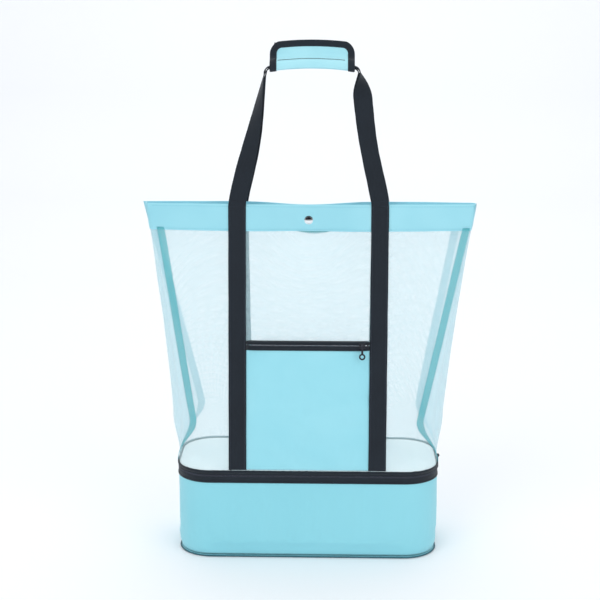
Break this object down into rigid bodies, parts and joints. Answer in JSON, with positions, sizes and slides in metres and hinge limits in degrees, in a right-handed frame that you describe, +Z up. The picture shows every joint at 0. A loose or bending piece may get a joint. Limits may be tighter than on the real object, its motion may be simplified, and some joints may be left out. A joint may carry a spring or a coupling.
{
  "type": "beach bag",
  "caption": "Mesh beach tote with an insulated cooler zipped on as its base, a zip pocket, a snap at the mouth and webbing handles joined by a wrap grip.",
  "frame": {"origin": "on the ground under the middle of the bag, at the bottom centre of its box", "axes": "+Z up, +X to the bag's right seen from the front, front towards -Y"},
  "size_m": [0.4812, 0.1594, 0.744],
  "materials": {
    "aqua_oxford": "plain-weave coated polyester, slight sheen",
    "white_lining": "pale coated lining cloth",
    "aqua_pocket": "plain-weave coated polyester, slight sheen",
    "aqua_band": "plain-weave coated polyester, soft",
    "aqua_grip": "plain-weave coated polyester over thin foam",
    "foam": "closed-cell foam, matt",
    "foil": "embossed aluminium foil laminate",
    "teal_piping": "woven piping",
    "black_tape": "woven twill tape, matt",
    "black_webbing": "ribbed polypropylene webbing",
    "zip_coil": "nylon coil",
    "zip_metal": "black lacquered zinc",
    "mesh": "fine open mesh, see-through",
    "teal_seam_tape": "mesh seam tape",
    "snap_chrome": "polished",
    "snap_steel": "plain nickel",
    "hook_and_loop": "hook-and-loop pile"
  },
  "bodies": {
    "cooler": {"cooler_outer_skin": "aqua_oxford", "cooler_foam_wall": "foam", "cooler_foil_liner": "foil", "cooler_base_panel": "aqua_oxford", "cooler_base_foam": "foam", "cooler_base_liner": "foil", "base_piping": "teal_piping", "lower_zip_tape": "black_tape", "lower_zip_coil": "zip_coil", "cooler_rim_piping": "black_tape", "cooler_zip_stops": "black_tape", "back_hinge_tape": "black_tape"},
    "tote": {"upper_zip_tape": "black_tape", "upper_zip_coil": "zip_coil", "mesh_hem_binding": "black_tape", "tote_floor_panel": "white_lining", "divider_foam": "foam", "divider_foil": "foil", "front_mesh_panel": "mesh", "back_mesh_panel": "mesh", "left_mesh_gusset": "mesh", "right_mesh_gusset": "mesh", "front_left_seam_tape": "teal_seam_tape", "front_right_seam_tape": "teal_seam_tape", "back_left_seam_tape": "teal_seam_tape", "back_right_seam_tape": "teal_seam_tape", "front_top_band": "aqua_band", "back_top_band": "aqua_band", "snap_cap": "snap_chrome", "snap_socket": "snap_steel", "snap_stud": "snap_steel", "snap_stud_rivet": "snap_chrome", "front_left_strap": "black_webbing", "front_right_strap": "black_webbing", "back_left_strap": "black_webbing", "back_right_strap": "black_webbing", "pocket_panel": "aqua_pocket", "pocket_lower_tape": "black_tape", "pocket_upper_tape": "black_tape", "pocket_zip_coil": "zip_coil", "pocket_zip_stops": "zip_metal", "handle_bends": "black_webbing"},
    "handles": {"front_handle_loop": "black_webbing", "back_handle_loop": "black_webbing", "grip_back_panel": "aqua_grip", "grip_back_binding": "black_tape", "grip_loop_tape": "hook_and_loop"},
    "grip_flap": {"grip_flap": "aqua_grip", "grip_flap_binding": "black_tape", "grip_hook_tape": "hook_and_loop"},
    "pocket_slider": {"pocket_zip_slider": "zip_metal"},
    "pocket_puller": {"pocket_zip_puller": "zip_metal"},
    "cooler_slider": {"cooler_zip_slider": "zip_metal"},
    "cooler_puller": {"cooler_zip_puller": "zip_metal"}
  },
  "joints": [
    {"name": "tote_tilt", "type": "hinge", "parent": "cooler", "child": "tote", "pos_m": [0, 0.0775, 0.12575], "axis": [-1, 0, 0], "range_deg": [0, 95]},
    {"name": "handle_fold", "type": "hinge", "parent": "tote", "child": "handles", "pos_m": [0, 0, 0.514], "axis": [1, 0, 0], "range_deg": [-110, 110], "deforming": ["handle_bends"]},
    {"name": "grip_flap_open", "type": "hinge", "parent": "handles", "child": "grip_flap", "pos_m": [0, -0.01345, 0.704], "axis": [1, 0, 0], "range_deg": [0, 165]},
    {"name": "pocket_zip_slide", "type": "slide", "parent": "tote", "child": "pocket_slider", "axis": [-1, 0, 0], "range_m": [0, 0.15]},
    {"name": "pocket_puller_swing", "type": "hinge", "parent": "pocket_slider", "child": "pocket_puller", "pos_m": [0.078, -0.06042, 0.31669], "axis": [-1, 0, 0], "range_deg": [0, 160]},
    {"name": "cooler_zip_slide", "type": "slide", "parent": "cooler", "child": "cooler_slider", "axis": [0, -1, 0], "range_m": [0, 0.036]},
    {"name": "cooler_puller_swing", "type": "hinge", "parent": "cooler_slider", "child": "cooler_puller", "pos_m": [0.1961, 0.022, 0.12575], "axis": [0, -1, 0], "range_deg": [0, 160]}
  ]
}
